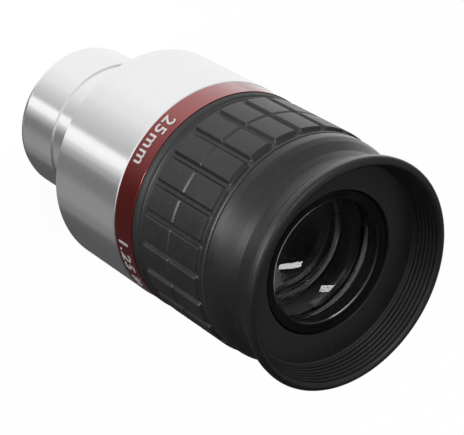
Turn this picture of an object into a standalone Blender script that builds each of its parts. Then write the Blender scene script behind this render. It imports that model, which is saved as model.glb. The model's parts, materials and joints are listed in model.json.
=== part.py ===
"""Twist-up telescope eyepiece, 25 mm focal length, for 1.25 inch focusers.

The optical axis is Z. The nosepiece's end face is at z = 0 and the eyecup is at the top.
The eyecup is modelled screwed down. It rises EYECUP_LIFT over EYECUP_TWIST degrees,
guided by three screws that run in helical slots of the sleeve under it.
Lengths are in millimetres and are scaled to metres where each mesh is made.
"""

import math

import bmesh
import bpy
from mathutils import Matrix, Vector

MM = 0.001
GAP = 0.3  # clearance between pieces that touch

# Resolution of turned pieces
OUTER_STEPS = 48
GRIP_STEPS = 72
INNER_STEPS = 32
SCREW_STEPS = 10

# Nosepiece
NOSE_RADIUS = 15.85  # 31.7 mm barrel
NOSE_NECK_RADIUS = 15.55
NOSE_BAND_TOP = 12.0  # end of the full-size band, start of the undercut neck
NOSE_END_TAPER = 1.0  # length of the lead-in at the end, 0.2 deep
NOSE_BORE = 13.6
FILTER_BORE = 14.25  # crests of the M28.5 x 0.6 filter thread
FILTER_DEPTH = 5.5
SPIGOT_TOP = 31.0
FIELD_STOP_Z = 20.0
FIELD_STOP_RADIUS = 12.9

# Outside of the body
BODY_RADIUS = 23.3
SHOULDER_Z = 26.0
BODY_TOP = 47.0
BODY_WALL = 2.1
REAR_WALL = 3.0
BAND_RADIUS = 23.2
BAND_BOTTOM = 47.3
BAND_TOP = 52.7
FLANGE_BOTTOM = 53.0
FLANGE_TOP = 54.5
FLANGE_RADIUS = 23.0
FLANGE_LIP_RADIUS = 22.0

# Fixed tube under the grip
HOUSING_RADIUS = 21.6
HOUSING_BORE = 20.9
HOUSING_TOP = 75.2
TAIL_RADIUS = 20.6
TAIL_BORE = 19.4
TAIL_BOTTOM = 44.0

# Rubber grip
GRIP_BOTTOM = 54.8
GRIP_TOP = 75.2
GRIP_BASE_RADIUS = 22.25
GRIP_PAD_RADIUS = 22.9
GRIP_PADS_BOTTOM = 56.0
GRIP_PADS_TOP = 73.5
GRIP_COLUMNS = 24
GRIP_GROOVE_WIDTH = 1.0
GRIP_GROOVE_OFFSET = 8.5  # degrees from the front to the first groove
GRIP_CROSS_Z = 64.85
GRIP_CROSS_WIDTH = 0.9
GRIP_CHAMFER = 0.45

# Eyecup and its sleeve
EYECUP_LIFT = 7.0
EYECUP_TWIST = 90.0
SLEEVE_RADIUS = 20.6
SLEEVE_BORE = 19.2
SLEEVE_TAIL_RADIUS = 19.9
SLEEVE_GROOVE_TOP = 57.5  # above the groove of the glide ring
SLEEVE_TOP = 82.1
SLEEVE_FLANGE_BOTTOM = 80.7
SLEEVE_FLANGE_RADIUS = 19.7
SLEEVE_EYE_HOLE = 15.6
CUP_RADIUS = 22.65
CUP_BOTTOM = 75.65
CUP_WAIST_RADIUS = 20.9
CUP_WAIST_Z = 82.9
CUP_FLOOR_Z = 83.6
CUP_FLOOR_THICKNESS = 1.2
CUP_FLOOR_RADIUS = 20.2
CUP_EYE_HOLE = 14.45
LIP_CENTRE_RADIUS = 21.8
LIP_CENTRE_Z = 88.92
LIP_ROUND = 1.33

# Guide screws, glide ring and stop ring
GLIDE_CLEARANCE = 0.15
GUIDE_COUNT = 3
GUIDE_Z = 66.6
GUIDE_FIRST_ANGLE = 30.0
GUIDE_BODY_RADIUS = 1.3
GUIDE_DOG_RADIUS = 1.0
GUIDE_SLOT_HALF_WIDTH = 1.35
GLIDE_BOTTOM = 55.9
STOP_RING_BOTTOM = 54.9
SLEEVE_BOTTOM = 55.1

# Lens barrel
BARREL_BOTTOM = 29.3
BOSS_RADIUS = 16.9
BOSS_BORE = 15.9
BOSS_TOP = 33.5
BARREL_RADIUS = 18.4
BARREL_FRONT_RADIUS = 15.2
BARREL_STEP_Z = 76.0
BARREL_TOP = 82.3
REAR_BORE = 15.2
SHOULDER_BOTTOM = 66.0
SHOULDER_TOP = 68.0
STOP_BORE = 11.9
FRONT_BORE = 13.2
RING_BORE = 14.4
RING_SEAT_Z = 79.6

# Lenses: edge radius of the two groups
REAR_LENS_RADIUS = 14.9
FRONT_LENS_RADIUS = 12.9
EYE_RING_BORE = 11.8
REAR_RING_BORE = 12.8
NOTCH_WIDTH = 1.6
NOTCH_DEPTH = 0.8
SINGLET_HEIGHT = 2.6
EYE_SPACER_HEIGHT = 3.0
EYE_SPACER_BORE = 12.0
REAR_SPACER_BORE = 14.1
REAR_RING_HEIGHT = 1.8
REAR_STACK_BOTTOM = 36.5
# Name, edge height and the radii of the lower and upper surface, from the rear forwards.
# A positive radius bulges up and None is flat.
REAR_STACK = [
    ("field_lens_flint", 4.0, -120.0, -34.0),
    ("field_lens_crown", 4.5, -34.0, 70.0),
    ("field_spacer", 4.0, None, None),
    ("middle_lens_crown", 4.6, -80.0, 38.0),
    ("middle_lens_flint", 4.5, 38.0, None),
    ("middle_spacer", 4.0, None, None),
]

FRONT_ANGLE = -90.0  # direction of the front, -Y, from +X


def clear_scene():
    for obj in list(bpy.data.objects):
        bpy.data.objects.remove(obj, do_unlink=True)


def new_collection(name):
    collection = bpy.data.collections.new(name)
    bpy.context.scene.collection.children.link(collection)
    return collection


def principled(name, colour, roughness, metallic, transmission=0.0):
    material = bpy.data.materials.new(name)
    material.use_nodes = True
    shader = material.node_tree.nodes["Principled BSDF"]
    shader.inputs["Base Color"].default_value = (*colour, 1.0)
    shader.inputs["Roughness"].default_value = roughness
    shader.inputs["Metallic"].default_value = metallic
    shader.inputs["Transmission Weight"].default_value = transmission
    material.diffuse_color = (*colour, 1.0)
    return material


def smooth(mesh):
    mesh.shade_smooth()
    mesh.set_sharp_from_angle(angle=math.radians(30))


def applied(obj):
    """Replaces the object's mesh by what its modifiers make of it."""
    graph = bpy.context.evaluated_depsgraph_get()
    mesh = bpy.data.meshes.new_from_object(obj.evaluated_get(graph))
    mesh.name = obj.name
    obj.modifiers.clear()
    obj.data = mesh
    smooth(mesh)
    return obj


def add_object(name, mesh, material, collection):
    obj = bpy.data.objects.new(name, mesh)
    obj.data.materials.append(material)
    collection.objects.link(obj)
    return obj


def profile_mesh(name, points, closed):
    """A polyline in the XZ plane. Points are (radius, z) in millimetres."""
    mesh = bpy.data.meshes.new(name)
    bm = bmesh.new()
    verts = [bm.verts.new((r * MM, 0.0, z * MM)) for r, z in points]
    for first, second in zip(verts, verts[1:]):
        bm.edges.new((first, second))
    if closed:
        bm.edges.new((verts[-1], verts[0]))
    bm.to_mesh(mesh)
    bm.free()
    return mesh


def add_screw(obj, steps):
    screw = obj.modifiers.new("turned", "SCREW")
    screw.steps = screw.render_steps = steps
    screw.use_merge_vertices = True
    screw.merge_threshold = 0.00001


def turned(name, points, material, collection, steps, closed=True):
    """A turned piece. The profile runs down the outside and, if it has a bore, up the inside."""
    obj = add_object(name, profile_mesh(name, points, closed), material, collection)
    add_screw(obj, steps)
    return applied(obj)


def ring(name, inner, outer, bottom, top, material, collection, steps=INNER_STEPS):
    points = [(outer, top), (outer, bottom), (inner, bottom), (inner, top)]
    return turned(name, points, material, collection, steps)


def arc(centre_r, centre_z, radius, start, end, count):
    """Points of a circular arc in the profile plane, angles in degrees from +r towards +z."""
    turns = [math.radians(start + (end - start) * i / count) for i in range(count + 1)]
    return [(centre_r + radius * math.cos(t), centre_z + radius * math.sin(t)) for t in turns]


def surface(edge_z, edge_radius, curve_radius, count=3):
    """A lens surface from its centre to its edge. A positive curve_radius bulges up, None is flat."""
    if curve_radius is None:
        return [(0.0, edge_z), (edge_radius, edge_z)]
    size = abs(curve_radius)
    sign = math.copysign(1.0, curve_radius)
    drop = math.sqrt(size**2 - edge_radius**2)
    radii = [edge_radius * i / count for i in range(count + 1)]
    return [(r, edge_z + sign * (math.sqrt(size**2 - r**2) - drop)) for r in radii]


def lens(name, radius, bottom, top, lower_curve, upper_curve, material, collection):
    """A lens whose cylindrical edge runs from bottom to top."""
    upper = surface(top, radius, upper_curve)
    lower = surface(bottom, radius, lower_curve)
    return turned(name, upper + lower[::-1], material, collection, INNER_STEPS, closed=False)


def make_cutter(name, bm, collection):
    bmesh.ops.recalc_face_normals(bm, faces=bm.faces)
    mesh = bpy.data.meshes.new(name)
    bm.to_mesh(mesh)
    bm.free()
    cutter = bpy.data.objects.new(name, mesh)
    cutter.hide_render = True
    cutter.display_type = "WIRE"
    collection.objects.link(cutter)
    return cutter


def cut(obj, cutter):
    boolean = obj.modifiers.new("cut", "BOOLEAN")
    boolean.operation = "DIFFERENCE"
    boolean.object = cutter
    applied(obj)


def add_box(bm, size, matrix):
    bmesh.ops.create_cube(bm, size=1.0, matrix=matrix @ Matrix.Diagonal((*[s * MM for s in size], 1.0)))


def around_axis(degrees, radius, z):
    """Placement at this angle from the front, with local X pointing outwards."""
    turn = Matrix.Rotation(math.radians(FRONT_ANGLE + degrees), 4, "Z")
    return turn @ Matrix.Translation(Vector((radius * MM, 0.0, z * MM)))


def guide_angles():
    return [GUIDE_FIRST_ANGLE + 360.0 * i / GUIDE_COUNT for i in range(GUIDE_COUNT)]


def make_nosepiece(parts, material):
    points = [
        (NOSE_NECK_RADIUS, SPIGOT_TOP),
        (NOSE_NECK_RADIUS, NOSE_BAND_TOP),
        (NOSE_RADIUS, NOSE_BAND_TOP),
        (NOSE_RADIUS, NOSE_END_TAPER),
        (NOSE_RADIUS - 0.2, 0.0),
        (FILTER_BORE, 0.0),
        (FILTER_BORE, FILTER_DEPTH),
        (NOSE_BORE, FILTER_DEPTH),
        (NOSE_BORE, SPIGOT_TOP),
    ]
    return turned("nosepiece_barrel", points, material, parts, OUTER_STEPS)


def make_field_stop(parts, material):
    outer = NOSE_BORE - GAP
    points = [
        (outer, FIELD_STOP_Z + 2.0),
        (outer, FIELD_STOP_Z),
        (FIELD_STOP_RADIUS, FIELD_STOP_Z),
        (FIELD_STOP_RADIUS, FIELD_STOP_Z + 0.3),
        (FIELD_STOP_RADIUS + 0.2, FIELD_STOP_Z + 2.0),
    ]
    return turned("field_stop_ring", points, material, parts, INNER_STEPS)


def make_body_shell(parts, material):
    inner = BODY_RADIUS - BODY_WALL
    spigot_outer = BAND_RADIUS - 1.3 - GAP
    spigot_inner = TAIL_RADIUS + GAP
    points = [
        (spigot_outer, FLANGE_BOTTOM - GAP),
        (spigot_outer, BODY_TOP),
        (BODY_RADIUS - 0.15, BODY_TOP),
        (BODY_RADIUS, BODY_TOP - 0.2),
        (BODY_RADIUS, SHOULDER_Z + 0.25),
        (BODY_RADIUS - 0.25, SHOULDER_Z),
        (BOSS_BORE, SHOULDER_Z),
        (BOSS_BORE, BOSS_TOP),
        (BOSS_RADIUS, BOSS_TOP),
        (BOSS_RADIUS, SHOULDER_Z + REAR_WALL),
        (inner, SHOULDER_Z + REAR_WALL),
        (inner, TAIL_BOTTOM - 1.0),
        (spigot_inner, TAIL_BOTTOM - 0.6),
        (spigot_inner, FLANGE_BOTTOM - GAP),
    ]
    return turned("body_shell", points, material, parts, OUTER_STEPS)


def make_colour_band(parts, material):
    inner = BAND_RADIUS - 1.3
    return ring("colour_band", inner, BAND_RADIUS, BAND_BOTTOM, BAND_TOP, material, parts, OUTER_STEPS)


def make_upper_housing(parts, cutters, material):
    points = [
        (HOUSING_RADIUS, HOUSING_TOP),
        (HOUSING_RADIUS, FLANGE_TOP),
        (FLANGE_LIP_RADIUS, FLANGE_TOP),
        (FLANGE_RADIUS, FLANGE_BOTTOM + 0.3),
        (FLANGE_RADIUS, FLANGE_BOTTOM),
        (TAIL_RADIUS, FLANGE_BOTTOM),
        (TAIL_RADIUS, TAIL_BOTTOM),
        (TAIL_BORE, TAIL_BOTTOM),
        (TAIL_BORE, FLANGE_TOP - 0.2),
        (HOUSING_BORE, FLANGE_TOP - 0.2),
        (HOUSING_BORE, HOUSING_TOP),
    ]
    housing = turned("upper_housing", points, material, parts, OUTER_STEPS)
    bm = bmesh.new()
    hole = GUIDE_BODY_RADIUS + GAP
    middle = (HOUSING_RADIUS + HOUSING_BORE) / 2
    for angle in guide_angles():
        place = around_axis(angle, middle, GUIDE_Z) @ Matrix.Rotation(math.radians(90), 4, "Y")
        bmesh.ops.create_cone(
            bm,
            cap_ends=True,
            segments=SCREW_STEPS,
            radius1=hole * MM,
            radius2=hole * MM,
            depth=3.0 * MM,
            matrix=place,
        )
    cut(housing, make_cutter("guide_hole_cutter", bm, cutters))
    return housing


def make_guide_screws(parts, material):
    head_top = HOUSING_RADIUS - 0.1
    shoulder = HOUSING_BORE + 0.2
    tip = SLEEVE_BORE + 0.2
    points = [
        (0.0, head_top),
        (GUIDE_BODY_RADIUS, head_top),
        (GUIDE_BODY_RADIUS, shoulder),
        (GUIDE_DOG_RADIUS, shoulder),
        (GUIDE_DOG_RADIUS, tip),
        (0.0, tip),
    ]
    for number, angle in enumerate(guide_angles(), start=1):
        name = f"guide_screw_{number}"
        screw = turned(name, points, material, parts, SCREW_STEPS, closed=False)
        outwards = Matrix.Rotation(math.radians(90), 4, "Y")
        screw.matrix_world = around_axis(angle, 0.0, GUIDE_Z) @ outwards


def make_rubber_grip(parts, cutters, material):
    half = GRIP_CROSS_WIDTH / 2
    low, high = GRIP_PADS_BOTTOM, GRIP_PADS_TOP
    pad, base = GRIP_PAD_RADIUS, GRIP_BASE_RADIUS
    points = [
        (base - 0.1, GRIP_TOP),
        (base, high),
        (pad, high - GRIP_CHAMFER),
        (pad, GRIP_CROSS_Z + half + 0.2),
        (base + 0.2, GRIP_CROSS_Z + half),
        (base + 0.2, GRIP_CROSS_Z - half),
        (pad, GRIP_CROSS_Z - half - 0.2),
        (pad, low + GRIP_CHAMFER),
        (base, low),
        (base - 0.1, GRIP_BOTTOM),
        (HOUSING_RADIUS + GAP, GRIP_BOTTOM),
        (HOUSING_RADIUS + GAP, GRIP_TOP),
    ]
    grip = turned("rubber_grip", points, material, parts, GRIP_STEPS)
    bm = bmesh.new()
    length = high - low - 0.4
    for column in range(GRIP_COLUMNS):
        angle = GRIP_GROOVE_OFFSET + 360.0 * column / GRIP_COLUMNS
        place = around_axis(angle, base + 1.0, (high + low) / 2)
        add_box(bm, (2.0, GRIP_GROOVE_WIDTH, length), place)
    cut(grip, make_cutter("grip_groove_cutter", bm, cutters))
    return grip


def make_eyecup_sleeve(parts, cutters, material):
    points = [
        (SLEEVE_FLANGE_RADIUS, SLEEVE_TOP),
        (SLEEVE_RADIUS, SLEEVE_FLANGE_BOTTOM - 0.4),
        (SLEEVE_RADIUS, SLEEVE_GROOVE_TOP),
        (SLEEVE_TAIL_RADIUS, SLEEVE_GROOVE_TOP),
        (SLEEVE_TAIL_RADIUS, SLEEVE_BOTTOM),
        (SLEEVE_BORE, SLEEVE_BOTTOM),
        (SLEEVE_BORE, SLEEVE_FLANGE_BOTTOM),
        (SLEEVE_EYE_HOLE, SLEEVE_FLANGE_BOTTOM),
        (SLEEVE_EYE_HOLE, SLEEVE_TOP),
    ]
    sleeve = turned("eyecup_sleeve", points, material, parts, OUTER_STEPS)
    pitch = EYECUP_LIFT / EYECUP_TWIST
    overrun = math.degrees(GUIDE_SLOT_HALF_WIDTH / SLEEVE_RADIUS)
    sweep = EYECUP_TWIST + 2 * overrun
    steps = 14
    bm = bmesh.new()
    for angle in guide_angles():
        start = around_axis(
            angle - EYECUP_TWIST - overrun,
            (SLEEVE_RADIUS + SLEEVE_BORE) / 2,
            GUIDE_Z - EYECUP_LIFT - pitch * overrun,
        )
        upright = start @ Matrix.Rotation(math.radians(90), 4, "X")
        size = Matrix.Diagonal((2.6 * MM, 2 * GUIDE_SLOT_HALF_WIDTH * MM, 1.0, 1.0))
        made = bmesh.ops.create_grid(bm, x_segments=1, y_segments=1, size=0.5, matrix=upright @ size)
        faces = list({face for vert in made["verts"] for face in vert.link_faces})
        edges = list({edge for face in faces for edge in face.edges})
        bmesh.ops.spin(
            bm,
            geom=made["verts"] + edges + faces,
            cent=(0.0, 0.0, 0.0),
            axis=(0.0, 0.0, 1.0),
            dvec=(0.0, 0.0, pitch * sweep / steps * MM),
            angle=math.radians(sweep),
            steps=steps,
        )
    cut(sleeve, make_cutter("guide_slot_cutter", bm, cutters))
    return sleeve


def make_glide_ring(parts, material):
    inner = SLEEVE_TAIL_RADIUS + GLIDE_CLEARANCE
    outer = HOUSING_BORE - GLIDE_CLEARANCE
    top = SLEEVE_GROOVE_TOP - GAP
    return ring("glide_ring", inner, outer, GLIDE_BOTTOM, top, material, parts)


def make_stop_ring(parts, material):
    inner = SLEEVE_TAIL_RADIUS + GLIDE_CLEARANCE
    outer = SLEEVE_RADIUS
    top = GLIDE_BOTTOM - GAP
    return ring("sleeve_stop_ring", inner, outer, STOP_RING_BOTTOM, top, material, parts)


def make_rubber_eyecup(parts, material):
    underside = CUP_FLOOR_Z - CUP_FLOOR_THICKNESS
    skirt = SLEEVE_RADIUS + GAP
    points = arc(LIP_CENTRE_RADIUS, LIP_CENTRE_Z, LIP_ROUND, 90, -30, 4)
    points += [
        (CUP_WAIST_RADIUS + 1.1, CUP_WAIST_Z + 3.3),
        (CUP_WAIST_RADIUS + 0.2, CUP_WAIST_Z + 1.2),
        (CUP_WAIST_RADIUS, CUP_WAIST_Z),
        (CUP_WAIST_RADIUS + 0.4, CUP_WAIST_Z - 1.2),
        (CUP_RADIUS - 0.45, CUP_BOTTOM + 3.3),
        (CUP_RADIUS, CUP_BOTTOM + 2.0),
        (CUP_RADIUS, CUP_BOTTOM + 0.2),
        (CUP_RADIUS - 0.2, CUP_BOTTOM),
        (skirt, CUP_BOTTOM),
        (skirt, SLEEVE_FLANGE_BOTTOM - 0.2),
        (SLEEVE_FLANGE_RADIUS + 0.1, underside),
        (CUP_EYE_HOLE, underside),
        (CUP_EYE_HOLE, CUP_FLOOR_Z - 0.1),
        (CUP_EYE_HOLE + 0.1, CUP_FLOOR_Z),
        (CUP_FLOOR_RADIUS - 0.3, CUP_FLOOR_Z),
        (CUP_FLOOR_RADIUS, CUP_FLOOR_Z + 0.4),
    ]
    points += arc(LIP_CENTRE_RADIUS, LIP_CENTRE_Z, LIP_ROUND, 180, 120, 2)
    return turned("rubber_eyecup", points, material, parts, OUTER_STEPS)


def make_lens_barrel(parts, material):
    points = [
        (BARREL_FRONT_RADIUS, BARREL_TOP),
        (BARREL_FRONT_RADIUS, BARREL_STEP_Z + 2.0),
        (BARREL_RADIUS, BARREL_STEP_Z),
        (BARREL_RADIUS, BARREL_BOTTOM),
        (BOSS_RADIUS + GAP, BARREL_BOTTOM),
        (BOSS_RADIUS + GAP, BOSS_TOP + GAP),
        (REAR_BORE, BOSS_TOP + GAP),
        (REAR_BORE, SHOULDER_BOTTOM),
        (STOP_BORE, SHOULDER_BOTTOM),
        (STOP_BORE, SHOULDER_TOP),
        (FRONT_BORE, SHOULDER_TOP),
        (FRONT_BORE, RING_SEAT_Z),
        (RING_BORE, RING_SEAT_Z),
        (RING_BORE, BARREL_TOP),
    ]
    return turned("lens_barrel", points, material, parts, OUTER_STEPS)


def cut_notches(obj, cutters, radius, z):
    """Two spanner notches, opposite each other, in the face of a retaining ring."""
    bm = bmesh.new()
    size = (2.0 * radius + 2.0, NOTCH_WIDTH, 2 * NOTCH_DEPTH)
    add_box(bm, size, Matrix.Translation(Vector((0.0, 0.0, z * MM))))
    cut(obj, make_cutter(obj.name + "_cutter", bm, cutters))


def make_eye_retaining_ring(parts, material):
    outer = RING_BORE - GAP
    top = BARREL_TOP - 0.3
    points = [
        (outer, top),
        (outer, RING_SEAT_Z + GAP),
        (EYE_RING_BORE - 0.2, RING_SEAT_Z + GAP),
        (EYE_RING_BORE - 0.2, top - 0.9),
        (EYE_RING_BORE, top),
    ]
    return turned("eye_retaining_ring", points, material, parts, INNER_STEPS)


def make_rear_retaining_ring(parts, cutters, material, bottom, top):
    inner, outer = REAR_RING_BORE, REAR_LENS_RADIUS
    retainer = ring("rear_retaining_ring", inner, outer, bottom, top, material, parts)
    cut_notches(retainer, cutters, outer, bottom)
    return retainer


def make_optics(parts, cutters, glass, black):
    """The two groups of the lens stack, each piece resting on the one below it."""
    z = REAR_STACK_BOTTOM
    make_rear_retaining_ring(parts, cutters, black, z, z + REAR_RING_HEIGHT)
    z += REAR_RING_HEIGHT + GAP
    for name, height, lower_curve, upper_curve in REAR_STACK:
        top = z + height
        if name.endswith("spacer"):
            ring(name, REAR_SPACER_BORE, REAR_LENS_RADIUS, z, top, black, parts)
        else:
            lens(name, REAR_LENS_RADIUS, z, top, lower_curve, upper_curve, glass, parts)
        z = top + GAP
    z = SHOULDER_TOP + GAP
    lens("inner_singlet", FRONT_LENS_RADIUS, z, z + SINGLET_HEIGHT, None, 52.0, glass, parts)
    z += SINGLET_HEIGHT + GAP
    top = z + EYE_SPACER_HEIGHT
    ring("eye_spacer", EYE_SPACER_BORE, FRONT_LENS_RADIUS, z, top, black, parts)
    lens("eye_lens", FRONT_LENS_RADIUS, top + GAP, RING_SEAT_Z, -70.0, 66.0, glass, parts)


def main():
    clear_scene()
    parts = new_collection("telescope_eyepiece")
    cutters = new_collection("cutters")
    bright = principled("bright_aluminium", (0.78, 0.78, 0.79), 0.28, 1.0)
    red = principled("red_enamel", (0.16, 0.02, 0.025), 0.35, 0.2)
    black = principled("black_anodised", (0.03, 0.03, 0.032), 0.45, 0.4)
    flat_black = principled("blackened_inside", (0.012, 0.012, 0.013), 0.7, 0.0)
    rubber = principled("black_rubber", (0.045, 0.045, 0.047), 0.62, 0.0)
    nylon = principled("white_nylon", (0.62, 0.61, 0.57), 0.5, 0.0)
    steel = principled("screw_steel", (0.5, 0.5, 0.51), 0.35, 1.0)
    glass = principled("coated_glass", (0.86, 0.9, 0.92), 0.02, 0.0, 1.0)
    make_nosepiece(parts, bright)
    make_field_stop(parts, flat_black)
    make_body_shell(parts, bright)
    make_colour_band(parts, red)
    make_upper_housing(parts, cutters, black)
    make_guide_screws(parts, steel)
    make_rubber_grip(parts, cutters, rubber)
    make_eyecup_sleeve(parts, cutters, black)
    make_glide_ring(parts, nylon)
    make_stop_ring(parts, black)
    make_rubber_eyecup(parts, rubber)
    make_lens_barrel(parts, flat_black)
    make_eye_retaining_ring(parts, flat_black)
    make_optics(parts, cutters, glass, flat_black)


main()
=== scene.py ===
# Looks of a twist-up telescope eyepiece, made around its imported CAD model.
# The optical axis is Z and the nosepiece's end face is at z = 0. Turned pieces are outlines of
# (radius, z) corners in millimetres, swept around Z. An angle is in degrees from the front, -Y,
# towards +X.

import json
import math

import bmesh
import bpy
from mathutils import Matrix, Vector

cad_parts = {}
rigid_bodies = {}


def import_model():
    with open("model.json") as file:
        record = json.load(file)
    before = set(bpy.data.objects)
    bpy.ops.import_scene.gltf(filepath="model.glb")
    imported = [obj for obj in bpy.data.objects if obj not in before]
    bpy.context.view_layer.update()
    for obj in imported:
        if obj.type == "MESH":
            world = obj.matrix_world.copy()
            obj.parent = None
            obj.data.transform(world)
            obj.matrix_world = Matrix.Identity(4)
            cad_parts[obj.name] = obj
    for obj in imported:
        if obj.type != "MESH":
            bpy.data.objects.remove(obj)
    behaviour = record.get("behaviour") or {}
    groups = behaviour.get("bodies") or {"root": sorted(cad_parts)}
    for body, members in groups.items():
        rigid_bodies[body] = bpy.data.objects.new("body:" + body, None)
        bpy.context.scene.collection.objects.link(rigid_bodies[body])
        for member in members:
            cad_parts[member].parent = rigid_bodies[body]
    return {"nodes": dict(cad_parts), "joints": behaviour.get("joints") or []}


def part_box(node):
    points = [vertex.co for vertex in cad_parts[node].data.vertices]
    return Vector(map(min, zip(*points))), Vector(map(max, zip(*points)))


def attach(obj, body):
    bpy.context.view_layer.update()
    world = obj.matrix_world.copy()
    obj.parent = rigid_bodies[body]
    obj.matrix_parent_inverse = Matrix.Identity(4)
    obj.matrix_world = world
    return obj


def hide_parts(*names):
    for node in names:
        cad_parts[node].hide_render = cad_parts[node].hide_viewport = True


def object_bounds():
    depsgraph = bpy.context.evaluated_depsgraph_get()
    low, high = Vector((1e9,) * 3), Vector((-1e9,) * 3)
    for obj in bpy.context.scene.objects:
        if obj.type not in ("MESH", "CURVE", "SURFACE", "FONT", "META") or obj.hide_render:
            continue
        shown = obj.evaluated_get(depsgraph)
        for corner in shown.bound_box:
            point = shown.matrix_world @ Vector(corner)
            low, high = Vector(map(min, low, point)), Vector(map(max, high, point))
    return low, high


MM = 0.001

# Radii, in millimetres, that count as zero and as the same
ON_AXIS = 1e-6
SAME_RADIUS = 0.01

# Fineness of the meshes: steps around Z, rings, rows and cuts, then the spacing of the grip's
# vertices in millimetres, the turn of a fillet's segment and the least angle of a sharp edge
FINE_STEPS = 240
PLAIN_STEPS = 144
LENS_STEPS = 160
LENS_RINGS = 32
THREAD_ROWS_PER_TURN = 8
SLOT_STEPS = 36
MARK_CUTS = 40
PAD_EDGE_MESH = 0.11
PAD_MIDDLE_MESH = 0.8
FILLET_STEP = 14.0
SHARP_ANGLE = 34.0

# Shapes that the CAD boxes don't give. Lengths are in millimetres and angles in degrees.
NOSE_BAND_TOP = 12.0
NOSE_NECK_STEP = 0.3
NOSE_END_TAPER = 1.0
FILTER_THREAD_PITCH = 0.6
FILTER_THREAD_DEPTH = 0.32
FILTER_THREAD_LENGTH = 5.0
SHOULDER_CHAMFER = 0.2
REAR_WALL = 3.0
SHELL_WALL = 2.1
SEAM = 0.04
BORE_FILL = 0.3
BOSS_WALL = 1.0
BOSS_TOP = 33.5
FIT_GAP = 0.3
HOUSING_TUBE = 21.6
HOUSING_BORE = 20.9
HOUSING_TAIL = 20.6
HOUSING_TAIL_BORE = 19.4
BAND_LIP = 0.25
GRIP_COLUMNS = 24
GRIP_FIRST_GROOVE = 8.5
GRIP_GROOVE = 0.55
GRIP_CROSS_GROOVE = 0.12
GRIP_CROSS_LEVEL = 0.7
GRIP_CROSS_Z = 64.85
GRIP_SLOPE = 0.58
GRIP_DEPTH = 0.58
GRIP_BEAD = 0.3
PAD_CROWN = 0.15
PADS_BOTTOM = 55.95
PADS_TOP = 73.55
CUP_FLOOR = 83.55
CUP_UNDERSIDE = 82.4
BOWL_RIBS = 6
RIB_DEPTH = 0.16
BARREL_FRONT = 15.2
BARREL_BORE = 15.2
LENS_BORE = 13.2
RING_BORE = 14.4
RING_SEAT = 79.6
INSIDE_THREAD_PITCH = 0.5
RING_THREAD_DEPTH = 0.2
BAFFLE_THREAD_DEPTH = 0.22
BROKEN_EDGE = 0.1
RING_RISE = 1.05
RING_CHAMFER = 0.27
RING_BEVEL = 0.2
RING_BEVEL_DROP = 0.04
GUIDE_COUNT = 3
GUIDE_FIRST_ANGLE = 30.0
GUIDE_HOLE = 1.5
EYECUP_TWIST = 90.0
SLEEVE_FLANGE = 1.4
SLOT_HALF_WIDTH = 1.35
LENS_EDGE_CHAMFER = 0.15
NOTCH_WIDTH = 1.6

# Marking on the colour band
MARK_BASE_Z = 48.42
MARK_HEIGHT = 2.95
MARK_PROUD = 0.03

# Camera, and the distance of the lamps in metres. The lens and sensor are in millimetres.
CAMERA_PLACE = Vector((0.0, -244.17, 305.64)) * MM
CAMERA_BELOW_HORIZON = 45.70
CAMERA_YAW = -0.48
CAMERA_ROLL = 121.25
CAMERA_LENS = 139.35
CAMERA_SENSOR = 36.0
LAMP_DISTANCE = 1.5


def clear_scene():
    for obj in list(bpy.data.objects):
        bpy.data.objects.remove(obj, do_unlink=True)


clear_scene()
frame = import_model()
CAD_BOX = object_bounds()


# ------------------------------------------------------------------ measures of CAD nodes
def extent(node):
    """Inner radius, outer radius, bottom and top of a turned CAD node, in millimetres."""
    points = [vert.co / MM for vert in frame["nodes"][node].data.vertices]
    radii = [math.hypot(p.x, p.y) for p in points]
    heights = [p.z for p in points]
    return min(radii), max(radii), min(heights), max(heights)


# ------------------------------------------------------------------ turned meshes
def fillet(before, corner, after, radius):
    """Points of the arc that rounds a corner."""
    back = (before - corner).normalized()
    forth = (after - corner).normalized()
    half = back.angle(forth) / 2
    longest = 0.48 * min((before - corner).length, (after - corner).length)
    reach = min(radius / math.tan(half), longest)
    radius = reach * math.tan(half)
    middle = corner + (back + forth).normalized() * (radius / math.sin(half))
    arm = corner + back * reach - middle
    end = corner + forth * reach - middle
    sweep = math.copysign(math.pi - 2 * half, arm.x * end.y - arm.y * end.x)
    count = max(2, round(abs(math.degrees(sweep)) / FILLET_STEP))
    return [middle + Matrix.Rotation(sweep * i / count, 2) @ arm for i in range(count + 1)]


def outline(corners):
    """A closed outline. A corner is (radius, z) or (radius, z, fillet)."""
    plain = [Vector(corner[:2]) for corner in corners]
    points = []
    for index, corner in enumerate(corners):
        after = plain[(index + 1) % len(plain)]
        if len(corner) == 2:
            points.append(plain[index])
        else:
            points += fillet(plain[index - 1], plain[index], after, corner[2])
    return points


def arc(centre_r, centre_z, radius, start, end, count):
    """Corners along a circular arc, angles in degrees from +r towards +z."""
    turns = [math.radians(start + (end - start) * i / count) for i in range(count + 1)]
    return [(centre_r + radius * math.cos(t), centre_z + radius * math.sin(t)) for t in turns]


def even_turns(steps):
    return [math.tau * i / steps for i in range(steps)]


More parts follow.
